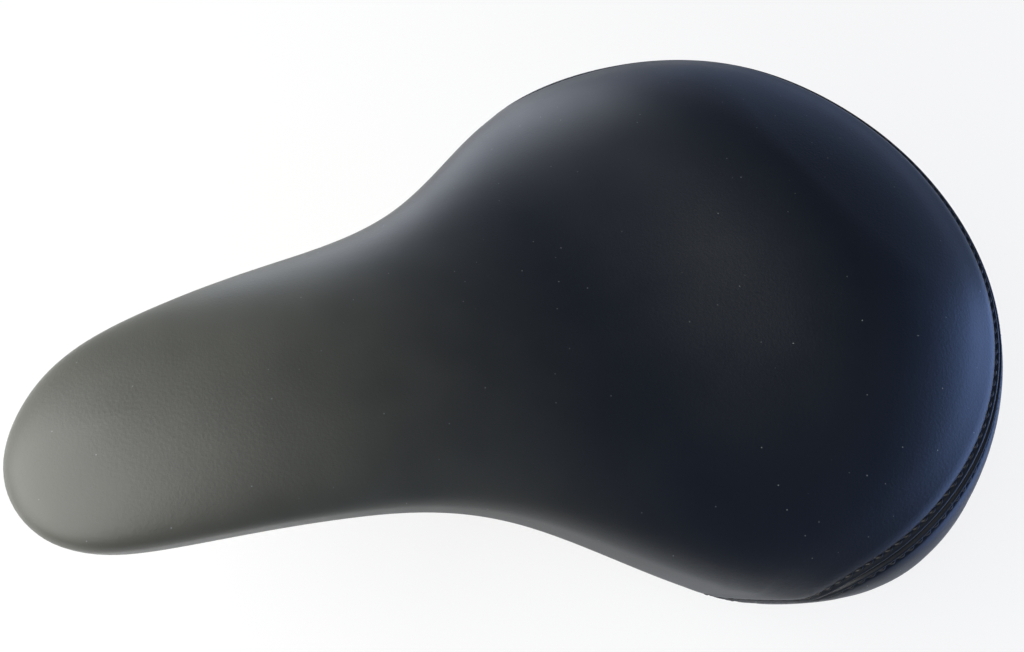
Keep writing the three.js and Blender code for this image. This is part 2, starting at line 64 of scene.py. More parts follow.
def mend(mesh, merge=None, outward=False):
    """Merges points that lie closer than a distance, and turns the faces outward."""
    bm = bmesh.new()
    bm.from_mesh(mesh)
    if merge:
        bmesh.ops.remove_doubles(bm, verts=bm.verts, dist=merge)
    if outward:
        bmesh.ops.recalc_face_normals(bm, faces=bm.faces)
    bm.to_mesh(mesh)
    bm.free()


def tube_faces(rings, sides):
    return [
        (i * sides + j, i * sides + (j + 1) % sides, (i + 1) * sides + (j + 1) % sides, (i + 1) * sides + j)
        for i in range(rings - 1)
        for j in range(sides)
    ]


MERGE = 2e-6

# %% [markdown]
# ## The form
# The saddle has no flat side, so it is described by a rule. Ribs fan out from a short spine to
# the outline, and each rib has the same kind of section: a dome, a skirt that leans in, a round
# bottom edge and the hem that is turned under. A few widths and heights, joined by a smooth
# spline, give every rib its size. The rule is the one that the CAD part follows, so the fine
# meshes here lie exactly where the solids are.

# %% Sizes of the form, in millimetres
LENGTH, WIDTH = 270.0, 205.0
CROWN, TAIL_RISE, FLANK, SKIRT = 65.0, 25.0, 26.0, 20.0
SPINE_FRONT, SPINE_REAR = 104.0, -90.0
DOME_POWER = 2.1
EDGE_RADIUS, SKIRT_LEAN, HEM = 5.0, math.radians(8), 11.0
COVER, GAP, WALL, FLANGE, FOAM = 1.2, 0.3, 3.0, 13.0, 20.0
SEAM_FRONT, SEAM_DROP = -19.0, 17.0
HEM_END = 4.0  # the reach at which a rib ends

width_shares = [0.543, 0.594, 0.45, 0.408, 0.463, 0.925, 1.19, 1.226, 1.237, 1.186]
crown_shares = [0.38, 0.39, 0.14, -0.1, 0.32, 1.17]
flank_shares = [0.35, 0.21, 0.65, 1.105, 1.13, 0.375]
skirt_shares = [0.35, 0.545, 1.107, 1.84]
foam_shares = [0.5, 0.52, 0.65, 0.9, 1.15, 1.2]
seam_shares = [0.93, 0.8, 0.74, 0.805, 0.775]


def along(shares, place, level):
    """A smooth run through evenly spaced shares, as an even cubic B-spline."""
    v = np.asarray(shares, float)
    before, after = (v[1], v[-2]) if level else (2 * v[0] - v[1], 2 * v[-1] - v[-2])
    v = np.concatenate([[before], v, [after]])
    s = np.clip(place, 0, 1) * (len(shares) - 1)
    i = np.minimum(s.astype(int), len(shares) - 2)
    u = s - i
    weights = (1 - u) ** 3, 3 * u**3 - 6 * u**2 + 4, -3 * u**3 + 3 * u**2 + 3 * u + 1, u**3
    return sum(w * v[i + k] for k, w in enumerate(weights)) / 6


def crown_at(x):
    return CROWN + TAIL_RISE * along(crown_shares, (SPINE_FRONT - x) / (SPINE_FRONT - SPINE_REAR), True)


def ribs_at(turn):
    """The ribs of the left side, from the nose at turn 0 to the tail at turn 1."""
    turn = np.asarray(turn, float)
    x = LENGTH / 2 * np.cos(np.pi * turn)
    y = WIDTH / 2 * along(width_shares, turn, True) * np.sin(np.pi * turn)
    back = (LENGTH / 2 - x) / LENGTH
    spine = SPINE_FRONT + (SPINE_REAR - SPINE_FRONT) * back
    radius = np.hypot(x - spine, y)
    widest = crown_at(spine) - FLANK * along(flank_shares, back, False)
    edge = widest - SKIRT * along(skirt_shares, back, False)
    return dict(x=x, spine=spine, radius=radius, dx=(x - spine) / radius, dy=y / radius, widest=widest, edge=edge)


def dome(rib, radius, low, crown_line, reach):
    """A dome over a rib. Near the spine the crown's height is taken at the point's own place, so it has no crease."""
    k = 2 / DOME_POWER
    a = np.clip(reach, 0, 1) * np.pi / 2
    out = radius * np.sin(a) ** k
    crown = crown_line(rib["spine"] + rib["dx"] * out * (1 - (out / radius) ** 2))
    return out, low + (crown - low) * np.maximum(np.cos(a), 0) ** k


def skin(rib, reach):
    """Distance from the spine and height at a reach: 1 ends the dome, 2 the skirt, 3 the edge and 4 the hem."""
    out, up = dome(rib, rib["radius"], rib["widest"], crown_at, reach)
    low = rib["edge"] + EDGE_RADIUS * (1 - math.sin(SKIRT_LEAN))
    lean = (rib["widest"] - low) / 2 * math.tan(SKIRT_LEAN)
    u = np.clip(reach - 1, 0, 1)
    out = np.where(reach > 1, rib["radius"] - lean * u * u, out)
    up = np.where(reach > 1, rib["widest"] + (low - rib["widest"]) * u, up)
    middle = rib["radius"] - lean - EDGE_RADIUS * math.cos(SKIRT_LEAN)
    turned = SKIRT_LEAN + (np.pi / 2 - SKIRT_LEAN) * np.clip(reach - 2, 0, 1)
    out = np.where(reach > 2, middle + EDGE_RADIUS * np.cos(turned), out)
    up = np.where(reach > 2, rib["edge"] + EDGE_RADIUS * (1 - np.sin(turned)), up)
    out = np.where(reach > 3, middle - HEM * (reach - 3), out)
    return out, np.where(reach > 3, rib["edge"], up)


def under_skin(rib, reach, depth):
    """The same, sunk square to the skin by a depth."""
    step = 1e-3
    out, up = skin(rib, reach)
    out_a, up_a = skin(rib, np.maximum(reach - step, 0))
    out_b, up_b = skin(rib, reach + step)
    run = np.hypot(out_b - out_a, up_b - up_a)
    across, rise = (out_b - out_a) / run, (up_b - up_a) / run
    flat = reach < step
    across, rise = np.where(flat, 1, across), np.where(flat, 0, rise)
    return np.where(flat, 0, out + depth * rise), up - depth * across


def placed(rib, point, side):
    """Points of a section set out from the spine, in metres. Side is 1 on the left and -1 on the right."""
    out, up = point
    return np.stack([rib["spine"] + rib["dx"] * out, side * rib["dy"] * out, up + 0 * out], -1) / 1000


def column(rib):
    """The rib's numbers stood up, so that they broadcast over a row of reaches."""
    return {name: value[:, None] for name, value in rib.items()}


ribs = ribs_at(np.linspace(0, 1, 200))
print("widest: %.0f mm" % (2 * 1000 * placed(ribs, skin(ribs, 1.0), 1)[:, 1].max()))

# %% [markdown]
# ## Where the seam runs
# The band's seam starts at the hem under the wing and climbs steeply up the skirt. Then it goes
# round the tail just above the widest line. It is a rule too: at each rib it gives the reach at
# which the two panels meet. Everything that belongs to the seam, such as its groove, its two rolls
# and its stitches, is measured from this line, square to it. The CAD part's two panels meet lower
# on the flanks. The line here is the one that the photograph shows.


# %% The seam's rule
def seam_reach(rib):
    share = np.clip((SEAM_FRONT - rib["x"]) / (SEAM_FRONT + LENGTH / 2), 0, 1)
    return along(seam_shares, share, False) + (HEM_END - seam_shares[0]) * (1 - share) ** SEAM_DROP


SEAM_TURN = math.acos(2 * SEAM_FRONT / LENGTH) / math.pi


def even_turns(first, last, count):
    """Turns that divide the outline from first to last into steps of one length."""
    fine = np.linspace(first, last, 2000)
    rib = ribs_at(fine)
    rim = placed(rib, skin(rib, np.full_like(fine, 1.5)), 1)
    run = np.concatenate([[0], np.cumsum(np.linalg.norm(np.diff(rim, axis=0), axis=1))])
    return np.interp(np.linspace(0, run[-1], count), run, fine)


def seam_slant(turn):
    """The cosine of the angle between a rib and the seam's square, so that widths can be set square to the seam."""
    step = 1e-4

    def at(t, reach_step=0.0):
        rib = ribs_at(t)
        return placed(rib, skin(rib, seam_reach(rib) + reach_step), 1)

    tangent = at(np.minimum(turn + step, 1)) - at(turn - step)
    tangent /= np.linalg.norm(tangent, axis=1)[:, None]
    down = at(turn, step) - at(turn, -step)
    down /= np.linalg.norm(down, axis=1)[:, None]
    return np.sqrt(np.clip(1 - (tangent * down).sum(1) ** 2, 0.05, 1))


print("seam starts at turn %.3f" % SEAM_TURN)

# %% [markdown]
# ## Sewn panels
# The cover is 1.2 mm of coated fabric. Where two panels are sewn together, the edges turn under
# and are topstitched on both sides. So the join shows as a groove between two soft rolls, with a
# furrow under each row of stitches and a faint swell beyond it, where the folded edge ends. The
# panels are closed shells on a grid of ribs. The grid lines are packed closely beside the seam,
# where the relief is small, and lie wide apart on the open dome.

# %% Relief beside the seam
ROW_ABOVE, ROW_BELOW = 2.0, 1.7
JOIN_DEPTH, JOIN_WIDTH = 0.9, 0.38
ROLL_HEIGHT, ROLL_PLACE, ROLL_WIDTH = 0.4, 0.52, 0.3  # the last two are shares of the row's distance
FURROW_DEPTH, FURROW_WIDTH = 0.4, 0.5
SWELL_HEIGHT, SWELL_PLACE, SWELL_WIDTH = 0.25, 2.4, 2.0

near_seam = np.array(
    [0, 0.12, 0.25, 0.4, 0.6, 0.85, 1.1, 1.35, 1.6, 1.85, 2.1, 2.3, 2.5, 2.7, 2.95, 3.3, 3.8, 4.5, 5.5, 7, 9, 12]
)


def bell(distance, width):
    return np.exp(-((distance / width) ** 2))


def relief(distance):
    """How far the cover stands out, in millimetres, at a distance square to the seam, negative above it."""
    d = np.abs(distance)
    row = np.where(distance < 0, ROW_ABOVE, ROW_BELOW)
    return (
        ROLL_HEIGHT * bell(d - ROLL_PLACE * row, ROLL_WIDTH * row)
        + SWELL_HEIGHT * bell(d - row - SWELL_PLACE, SWELL_WIDTH)
        - JOIN_DEPTH * bell(d, JOIN_WIDTH)
        - FURROW_DEPTH * bell(d - row, FURROW_WIDTH)
    )


def distance_to_seam(points, below):
    """The shortest way from each point of the skin to the seam, in millimetres."""
    rib = ribs_at(even_turns(SEAM_TURN, 1, 700))
    line = placed(rib, skin(rib, seam_reach(rib)), 1)
    past_the_tail = line[-60:] * np.array([1, -1, 1])
    line = np.concatenate([line, past_the_tail]) * 1000
    parts = np.array_split(points.reshape(-1, 3) * 1000, 40)
    nearest = [np.sqrt(((part[:, None] - line[None]) ** 2).sum(-1).min(1)) for part in parts]
    return np.concatenate(nearest).reshape(points.shape[:-1]) * (1 if below else -1)


REACHES = np.linspace(0, HEM_END, 1201)
LEAST_SLANT = 0.7  # keeps the grid from spreading where the seam climbs
CLEAR_OF_START = 0.002, 0.003  # the seam's slant and its rows of stitches are taken this little past its start


def length_table(rib):
    """How far along the skin each reach lies, in millimetres, for every rib."""
    out, up = skin(column(rib), REACHES[None, :] + 0 * rib["x"][:, None])
    steps = np.hypot(np.diff(out, axis=1), np.diff(up, axis=1))
    return np.concatenate([np.zeros((len(out), 1)), np.cumsum(steps, axis=1)], axis=1)


def panel_grid(turn, upper, open_steps):
    """Reaches for the top panel, or for the band below the seam, closely spaced beside it."""
    rib = ribs_at(turn)
    lengths = length_table(rib)
    seam = seam_reach(rib)
    slant = np.maximum(seam_slant(np.clip(turn, SEAM_TURN + CLEAR_OF_START[0], 1)), LEAST_SLANT)
    rows = []
    for i in range(len(turn)):
        at_seam = np.interp(seam[i], REACHES, lengths[i])
        near = near_seam / slant[i]
        if upper:
            inner = at_seam - near
            rest = np.linspace(0, inner[-1], open_steps + 1)[:-1]
            run = np.concatenate([rest, inner[::-1]])
        else:
            room = lengths[i, -1] - at_seam
            near = near * min(1, 0.6 * room / near[-1])
            rest = np.linspace(at_seam + near[-1], lengths[i, -1], open_steps + 1)[1:]
            run = np.concatenate([at_seam + near, rest])
        rows.append(np.interp(run, lengths[i], REACHES))
    return rib, np.array(rows)


# %% [markdown]
# ## From grid to shell
# A panel is a grid of points, one row for each rib. The same grid sunk by the cover's thickness
# makes its inside, and strips along the borders close the two into one shell. The left half is
# mirrored to the right, and points that coincide on the spine are merged.


# %% Make a shell from rows of points
def shell_from_rows(name, outer, inner, loop):
    rows, cols = outer.shape[:2]
    points = np.concatenate([outer.reshape(-1, 3), inner.reshape(-1, 3)])
    i, j = np.meshgrid(np.arange(rows if loop else rows - 1), np.arange(cols - 1), indexing="ij")
    a, b = i * cols + j, ((i + 1) % rows) * cols + j
    top = np.stack([a, a + 1, b + 1, b], -1).reshape(-1, 4)
    under = top[:, ::-1] + rows * cols
    i = np.arange(rows if loop else rows - 1)
    last, after = i * cols + cols - 1, ((i + 1) % rows) * cols + cols - 1
    faces = [top, under, np.stack([last, last + rows * cols, after + rows * cols, after], -1)]
    if not loop:
        first, following = i * cols, (i + 1) * cols
        faces.append(np.stack([first, following, following + rows * cols, first + rows * cols], -1))
        j = np.arange(cols - 1)
        end = (rows - 1) * cols
        faces.append(np.stack([j, j + rows * cols, j + 1 + rows * cols, j + 1], -1))
        faces.append(np.stack([end + j, end + j + 1, end + j + 1 + rows * cols, end + j + rows * cols], -1))
    mesh = bpy.data.meshes.new(name)
    mesh.from_pydata(points.tolist(), [], np.concatenate(faces).tolist())
    mend(mesh, MERGE)
    mesh.validate()
    mesh.shade_smooth()
    return shown(name, mesh)


def both_sides(left, loop):
    """Rows of the left side followed by their mirror on the right, back to the first."""
    right = left[::-1] * np.array([1, -1, 1])
    return np.concatenate([left, right[1:-1] if loop else right[1:]])


def sewn_panel(name, turn, upper, open_steps):
    rib, reach = panel_grid(turn, upper, open_steps)
    tall = column(rib)
    rise = relief(distance_to_seam(placed(tall, skin(tall, reach), 1), not upper))
    outer = placed(tall, under_skin(tall, reach, -rise), 1)
    inner = placed(tall, under_skin(tall, reach, COVER - np.minimum(rise, 0)), 1)
    piece = shell_from_rows(name, both_sides(outer, upper), both_sides(inner, upper), upper)
    print("%s: %d faces" % (name, len(piece.data.polygons)))
    return piece


CLIMB_END = SEAM_TURN + 0.07  # ribs stand closer together where the seam climbs
turns_front = even_turns(0, SEAM_TURN, 90)
turns_rear = np.concatenate([even_turns(SEAM_TURN, CLIMB_END, 34), even_turns(CLIMB_END, 1, 116)[1:]])
top_panel = sewn_panel("top_panel", np.concatenate([turns_front, turns_rear[1:]]), True, 60)
tail_band = sewn_panel("tail_band", turns_rear[2:], False, 26)

# %% [markdown]
# ## The foam pad
# The pad is moulded polyurethane foam. It is thick under the sit bones and thin at the nose, and
# a roll of it comes down round the base's flange, so that the cover's edge feels soft. It shows
# only through the base's vents, but it is whole.


# %% Foam pad
def base_heights(rib):
    low = rib["edge"] + COVER + GAP
    out = skin(rib, np.full_like(rib["x"], 3.0))[0] - GAP
    return dict(low=low, top=low + WALL, out=out, dome=out - FLANGE)


def base_crown(x):
    foam = FOAM * along(foam_shares, (SPINE_FRONT - x) / (SPINE_FRONT - SPINE_REAR), True)
    return crown_at(x) - COVER - GAP - foam


turn = even_turns(0, 1, 120)
rib = column(ribs_at(turn))
base = {name: value[:, None] for name, value in base_heights(ribs_at(turn)).items()}
upper_reach = np.concatenate([np.linspace(0, 1, 20), np.linspace(1, 3, 17)[1:]])[None, :]
outer = placed(rib, under_skin(rib, upper_reach + 0 * rib["x"], COVER + GAP), 1)
dome_part = dome(rib, base["dome"] + GAP, base["top"] + GAP, base_crown, np.linspace(0, 1, 20)[None, :])
ledge = np.linspace(0, 1, 17)[None, 1:]
rim = skin(rib, np.full_like(rib["x"], 3.0))[0]
out = np.concatenate([dome_part[0], base["dome"] + GAP + (rim - base["dome"] - GAP) * ledge], 1)
up = np.concatenate([dome_part[1], base["top"] + GAP + 0 * ledge], 1)
inner = placed(rib, (out, up), 1)
foam_core = shell_from_rows("foam_core", both_sides(outer, True), both_sides(inner, True), True)
print("foam_core: %d faces" % len(foam_core.data.polygons))

# %% [markdown]
# ## Stitches
# Both rows of topstitching are the same short thread, over and over, so Geometry Nodes lay them.
# The tree takes a line along the seam that knows which way is outward, cuts it into steps of one
# stitch, and sets a thread on each step. A thread is a thin arc whose ends dive into the holes.


# %% Rows of stitches along the seam
def add_node(tree, kind, links=(), **settings):
    """Adds a node with its settings. Links are pairs of an input and the socket that feeds it, or its value."""
    node = tree.nodes.new(kind)
    for name, value in settings.items():
        setattr(node, name, value)
    for name, source in dict(links).items():
        socket = node.inputs[name]
        if isinstance(source, bpy.types.NodeSocket):
            tree.links.new(source, socket)
        else:
            socket.default_value = source
    return node


def seam_line(offset):
    """Points along the whole seam, a distance square from it, and the way outward there."""
    turn = even_turns(SEAM_TURN + CLEAR_OF_START[1], 1, 600)
    rib = ribs_at(turn)
    lengths = length_table(rib)
    run = [np.interp(s, REACHES, row) for s, row in zip(seam_reach(rib), lengths)]
    run = np.array(run) + offset / seam_slant(turn)
    reach = np.array([np.interp(s, row, REACHES) for s, row in zip(run, lengths)])
    points = placed(rib, under_skin(rib, reach, 0), 1)
    outward = placed(rib, under_skin(rib, reach, -1), 1) - points
    keep = run < lengths[:, -1] - 1
    mirror = np.array([1, -1, 1])
    points, outward = points[keep], outward[keep] * 1000
    return np.concatenate([points, (points * mirror)[-2::-1]]), np.concatenate([outward, (outward * mirror)[-2::-1]])


def line_object(name, points, outward):
    mesh = bpy.data.meshes.new(name)
    mesh.from_pydata(points.tolist(), [(i, i + 1) for i in range(len(points) - 1)], [])
    stored = mesh.attributes.new("outward", "FLOAT_VECTOR", "POINT")
    stored.data.foreach_set("vector", outward.ravel())
    return shown(name, mesh)


def stitch_tree():
    tree = bpy.data.node_groups.new("Topstitch", "GeometryNodeTree")
    face = tree.interface
    face.new_socket("Line", in_out="INPUT", socket_type="NodeSocketGeometry")
    for name, value in (("Pitch", 0.003), ("Stitch", 0.0024), ("Thread", 0.00034), ("Dive", 0.0007)):
        face.new_socket(name, in_out="INPUT", socket_type="NodeSocketFloat").default_value = value
    face.new_socket("Material", in_out="INPUT", socket_type="NodeSocketMaterial")
    face.new_socket("Threads", in_out="OUTPUT", socket_type="NodeSocketGeometry")
    given = add_node(tree, "NodeGroupInput").outputs
    curve = add_node(tree, "GeometryNodeMeshToCurve", {"Mesh": given["Line"]})
    cut = {"Curve": curve.outputs[0], "Length": given["Pitch"]}
    steps = add_node(tree, "GeometryNodeResampleCurve", cut, mode="LENGTH")
    tangent = add_node(tree, "GeometryNodeInputTangent")
    outward = add_node(tree, "GeometryNodeInputNamedAttribute", {"Name": "outward"}, data_type="FLOAT_VECTOR")
    ahead = add_node(tree, "FunctionNodeAlignRotationToVector", {"Vector": tangent.outputs[0]}, axis="X")
    upright = add_node(
        tree,
        "FunctionNodeAlignRotationToVector",
        {"Rotation": ahead.outputs[0], "Vector": outward.outputs[0]},
        axis="Z",
        pivot_axis="X",
    )
    half = add_node(tree, "ShaderNodeMath", {0: given["Stitch"], 1: 0.5}, operation="MULTIPLY")
    back = add_node(tree, "ShaderNodeMath", {0: half.outputs[0], 1: -1.0}, operation="MULTIPLY")
    sunk = add_node(tree, "ShaderNodeMath", {0: given["Dive"], 1: -1.0}, operation="MULTIPLY")
    start = add_node(tree, "ShaderNodeCombineXYZ", {"X": back.outputs[0], "Z": sunk.outputs[0]})
    end = add_node(tree, "ShaderNodeCombineXYZ", {"X": half.outputs[0], "Z": sunk.outputs[0]})
    top = add_node(tree, "ShaderNodeCombineXYZ", {"Z": given["Dive"]})
    arc = add_node(
        tree,
        "GeometryNodeCurveQuadraticBezier",
        {"Resolution": 7, "Start": start.outputs[0], "Middle": top.outputs[0], "End": end.outputs[0]},
    )
    ring = add_node(tree, "GeometryNodeCurvePrimitiveCircle", {"Resolution": 6, "Radius": given["Thread"]})
    thread = add_node(
        tree,
        "GeometryNodeCurveToMesh",
        {"Curve": arc.outputs[0], "Profile Curve": ring.outputs["Curve"], "Fill Caps": True},
    )
    laid = add_node(
        tree,
        "GeometryNodeInstanceOnPoints",
        {"Points": steps.outputs[0], "Instance": thread.outputs[0], "Rotation": upright.outputs[0]},
    )
    real = add_node(tree, "GeometryNodeRealizeInstances", {"Geometry": laid.outputs[0]})
    smooth = add_node(tree, "GeometryNodeSetShadeSmooth", {"Geometry": real.outputs[0]})
    done = add_node(tree, "GeometryNodeSetMaterial", {"Geometry": smooth.outputs[0], "Material": given["Material"]})
    add_node(tree, "NodeGroupOutput", {"Threads": done.outputs[0]})
    return tree


def grown(carrier, tree, name, **inputs):
    """Runs a tree on an object and keeps the result as a plain mesh of its own."""
    modifier = carrier.modifiers.new("grow", "NODES")
    modifier.node_group = tree
    sockets = {s.name: s.identifier for s in tree.interface.items_tree if s.in_out == "INPUT"}
    for key, value in inputs.items():
        modifier[sockets[key]] = value
    evaluated = carrier.evaluated_get(bpy.context.evaluated_depsgraph_get())
    mesh = bpy.data.meshes.new_from_object(evaluated)
    carrier.modifiers.remove(modifier)
    bpy.data.objects.remove(carrier)
    mesh.name = name
    print("%s: %d faces" % (name, len(mesh.polygons)))
    return shown(name, mesh)


# %% [markdown]
# ## Finishes
# Colours are written as sRGB hex values, and one function turns them to the linear values that
# shaders use. Each finish starts from what the material is, then takes its grain from a real size.


# %% Colour and node helpers
def hex_colour(text):
    parts = [int(text[i : i + 2], 16) / 255 for i in (1, 3, 5)]
    return tuple(c / 12.92 if c <= 0.04045 else ((c + 0.055) / 1.055) ** 2.4 for c in parts) + (1,)


def new_material(name, base, roughness, metallic=0.0, ior=1.5):
    material = bpy.data.materials.new(name)
    material.use_nodes = True
    shader = material.node_tree.nodes["Principled BSDF"]
    shader.inputs["Base Color"].default_value = hex_colour(base)
    shader.inputs["Roughness"].default_value = roughness
    shader.inputs["Metallic"].default_value = metallic
    shader.inputs["IOR"].default_value = ior
    return material, material.node_tree, shader


def per_mm(size):
    """The scale that makes a pattern's cell that many millimetres wide, on Object coordinates in metres."""
    return 1000 / size


def ranged(tree, value, given, wanted, **settings):
    """Maps the values of one range to another."""
    ends = {"From Min": given[0], "From Max": given[1], "To Min": wanted[0], "To Max": wanted[1]}
    return add_node(tree, "ShaderNodeMapRange", {"Value": value, **ends}, **settings).outputs[0]


def blended(tree, share, first, second):
    """A colour between two others."""
    links = {"Factor": share, "A": first, "B": second}
    return add_node(tree, "ShaderNodeMix", links, data_type="RGBA").outputs["Result"]


def product(tree, first, second):
    return add_node(tree, "ShaderNodeMath", {0: first, 1: second}, operation="MULTIPLY").outputs[0]


# %% [markdown]
# ### Coated leathercloth
# The cover is polyurethane on a knitted backing, embossed with a fine leather grain and left
# matte. The coating is nearly black with a little blue. Light spreads wide on it, so highlights
# are soft and grey, and the cells of the grain, a third of a millimetre across, break them up.
# They are drawn at 0.7 mm, as coarse as it takes to show at this distance.
#
# Toward the nose a broad grey haze of light is painted into the cover's colour: a painted
# highlight, a thin grey layer that stands for light from beyond the nose. It grows from the waist to
# the nose, varies a little from place to place, and leaves out the hem, which faces down. A few
# specks of dust lie on all of the cover.

# %% Cover material
# The second grey is painted light: the grey of a haze of light on the nose, not of the cover.
COVER_BLACK, PAINTED_HAZE_GREY, DUST_GREY = "#0b111b", "#5f5f55", "#6b7072"
leathercloth, tree, shader = new_material("matte black polyurethane leathercloth", COVER_BLACK, 0.45)
place = add_node(tree, "ShaderNodeTexCoord").outputs["Object"]
cells = add_node(tree, "ShaderNodeTexVoronoi", {"Vector": place, "Scale": per_mm(0.7)}, feature="SMOOTH_F1")
fine = add_node(tree, "ShaderNodeTexNoise", {"Vector": place, "Scale": per_mm(0.35), "Detail": 3.0})
broad = add_node(tree, "ShaderNodeTexNoise", {"Vector": place, "Scale": per_mm(18), "Detail": 2.0}).outputs["Fac"]
height = add_node(tree, "ShaderNodeMath", {0: cells.outputs["Distance"], 1: fine.outputs["Fac"]}, operation="ADD")
bump = add_node(tree, "ShaderNodeBump", {"Height": height.outputs[0], "Strength": 0.12, "Distance": 0.0002})
tree.links.new(bump.outputs[0], shader.inputs["Normal"])
tree.links.new(ranged(tree, broad, (0, 1), (0.37, 0.45)), shader.inputs["Roughness"])

# Painted highlight: a grey haze of light is mixed into the colour, growing toward the nose on faces that look up.
along_saddle = add_node(tree, "ShaderNodeSeparateXYZ", {0: place}).outputs["X"]
normal = add_node(tree, "ShaderNodeNewGeometry").outputs["Normal"]
facing_up = add_node(tree, "ShaderNodeSeparateXYZ", {0: normal}).outputs["Z"]
haze_toward_nose = ranged(tree, along_saddle, (-0.025, 0.1), (0, 1), interpolation_type="SMOOTHSTEP")
haze_on_upper_faces = product(tree, haze_toward_nose, ranged(tree, facing_up, (-0.5, 0.05), (0, 1)))
painted_haze_share = product(tree, haze_on_upper_faces, ranged(tree, broad, (0, 1), (0.36, 0.64)))
cover_with_painted_haze = blended(tree, painted_haze_share, hex_colour(COVER_BLACK), hex_colour(PAINTED_HAZE_GREY))

specks = add_node(tree, "ShaderNodeTexVoronoi", {"Vector": place, "Scale": per_mm(4.2)}, feature="F1")
dust = ranged(tree, specks.outputs["Distance"], (0.03, 0.045), (1, 0))
tree.links.new(blended(tree, dust, cover_with_painted_haze, hex_colour(DUST_GREY)), shader.inputs["Base Color"])
shader.inputs["Sheen Weight"].default_value = 0.02
shader.inputs["Sheen Roughness"].default_value = 0.5

# %% [markdown]
# ### Thread, foam, plastic and metal
# The thread is bonded polyester, twisted and slightly glossy. The foam has open cells about half
# a millimetre wide. The base is polypropylene moulded in a spark-eroded tool, which leaves an even
# fine texture. The rails are drawn steel with a bright plating, and the small fasteners have the
# duller, faintly cloudy look of zinc.

# %% Other materials
thread_black, tree, shader = new_material("black bonded polyester thread", "#0c0e12", 0.5)
place = add_node(tree, "ShaderNodeTexCoord").outputs["Object"]
twist = add_node(tree, "ShaderNodeTexNoise", {"Vector": place, "Scale": per_mm(0.25)})
bump = add_node(tree, "ShaderNodeBump", {"Height": twist.outputs["Fac"], "Strength": 0.4, "Distance": 0.0001})
tree.links.new(bump.outputs[0], shader.inputs["Normal"])

foam_grey, tree, shader = new_material("moulded polyurethane foam", "#4a4b47", 0.95)
place = add_node(tree, "ShaderNodeTexCoord").outputs["Object"]
pores = add_node(tree, "ShaderNodeTexVoronoi", {"Vector": place, "Scale": per_mm(0.6)}, feature="F1")
bump = add_node(tree, "ShaderNodeBump", {"Height": pores.outputs["Distance"], "Strength": 0.8, "Distance": 0.0004})
tree.links.new(bump.outputs[0], shader.inputs["Normal"])
# Painted shade: the pits of the pores are coloured darker than the foam between them.
shade = blended(tree, pores.outputs["Distance"], hex_colour("#343531"), hex_colour("#56574f"))
tree.links.new(shade, shader.inputs["Base Color"])

moulded_black, tree, shader = new_material("black moulded polypropylene", "#191b1d", 0.5)
place = add_node(tree, "ShaderNodeTexCoord").outputs["Object"]
spark = add_node(tree, "ShaderNodeTexNoise", {"Vector": place, "Scale": per_mm(0.5), "Detail": 4.0})
bump = add_node(tree, "ShaderNodeBump", {"Height": spark.outputs["Fac"], "Strength": 0.25, "Distance": 0.0001})
tree.links.new(bump.outputs[0], shader.inputs["Normal"])
flow = add_node(tree, "ShaderNodeTexNoise", {"Vector": place, "Scale": per_mm(30)})
tree.links.new(ranged(tree, flow.outputs["Fac"], (0, 1), (0.42, 0.58)), shader.inputs["Roughness"])

plated_steel, tree, shader = new_material("bright plated steel bar", "#c3c5c6", 0.22, metallic=1.0)
place = add_node(tree, "ShaderNodeTexCoord").outputs["Object"]
drawn = add_node(tree, "ShaderNodeMapping", {"Vector": place, "Scale": (0.05, 1.0, 1.0)})
lines = add_node(tree, "ShaderNodeTexNoise", {"Vector": drawn.outputs[0], "Scale": per_mm(0.4), "Detail": 3.0})
tree.links.new(ranged(tree, lines.outputs["Fac"], (0, 1), (0.16, 0.3)), shader.inputs["Roughness"])

zinc_steel, tree, shader = new_material("zinc-plated steel", "#9a9c9d", 0.38, metallic=1.0)
place = add_node(tree, "ShaderNodeTexCoord").outputs["Object"]
cloud = add_node(tree, "ShaderNodeTexNoise", {"Vector": place, "Scale": per_mm(1.5)})
tree.links.new(ranged(tree, cloud.outputs["Fac"], (0, 1), (0.3, 0.5)), shader.inputs["Roughness"])
print("materials:", len(bpy.data.materials))

# %% Lay the stitches
STITCH_PITCH = 3.0 / 1000
topstitch = stitch_tree()
rows = []
for name, offset in (("stitches_above_seam", -ROW_ABOVE), ("stitches_below_seam", ROW_BELOW)):
    carrier = line_object(name + "_line", *seam_line(offset))
    rows.append(grown(carrier, topstitch, name, Pitch=STITCH_PITCH, Material=thread_black))

# %% [markdown]
# ## Rails
# Each rail is one steel bar, 7 mm across, bent at four corners. Only the straight middle is
# clamped. Rings of points along the bent path give the bar, and every bend is a smooth one.

# %% Rails
RAIL_RADIUS, RAIL_SIDES = 3.5, 32
BEND_REACH, BEND_STEPS = 7, 12  # how far a bend starts before its corner, and its steps
rail_corners = [(-103, 37.44, 35.5), (-83, 30.44, 35.5), (-51, 22, 3.5), (35, 22, 3.5), (80, 7.5, 44), (104, 7.5, 44)]


def bent_path(corners, reach, steps):
    """The way through the corners, with a curve for each bend."""
    corners = [np.array(c, float) for c in corners]
    points = [corners[0]]
    for before, corner, after in zip(corners, corners[1:], corners[2:]):
        a = corner + (before - corner) / np.linalg.norm(before - corner) * reach
        b = corner + (after - corner) / np.linalg.norm(after - corner) * reach
        for t in np.linspace(0, 1, steps):
            points.append((1 - t) ** 2 * a + 2 * t * (1 - t) * corner + t * t * b)
    return np.array(points + [corners[-1]])


